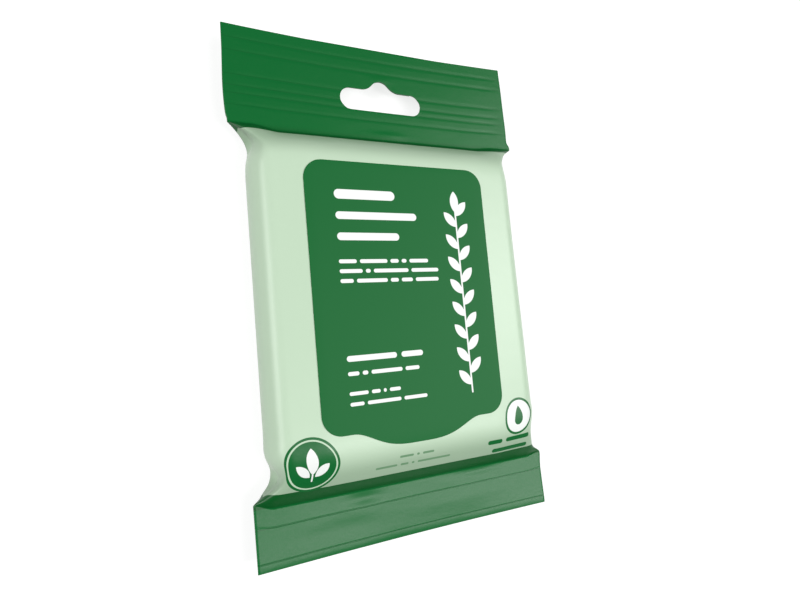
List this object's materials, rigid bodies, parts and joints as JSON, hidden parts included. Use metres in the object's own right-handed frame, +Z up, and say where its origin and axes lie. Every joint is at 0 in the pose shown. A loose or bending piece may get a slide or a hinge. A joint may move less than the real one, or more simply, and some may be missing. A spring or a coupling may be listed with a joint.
{
  "type": "wet wipes pack",
  "caption": "Sealed flow wrapped travel pack of wet wipes with a crimped fin, a hang header with a slot, and a resealable pull tab label on its front.",
  "frame": {"origin": "on the ground under the middle of the pack, which lies on its back", "axes": "+X across the pack to the right of its front, +Y along it towards the hang slot, +Z up out of its front"},
  "size_m": [0.0964, 0.15, 0.0142],
  "materials": {
    "printed_film": "satin printed packing film, pale green on the body and dark green on the header and the fin",
    "label_film": "satin dark green self-adhesive label film"
  },
  "bodies": {
    "root": {"film_pack": "printed_film", "reseal_label": "label_film"}
  },
  "joints": []
}
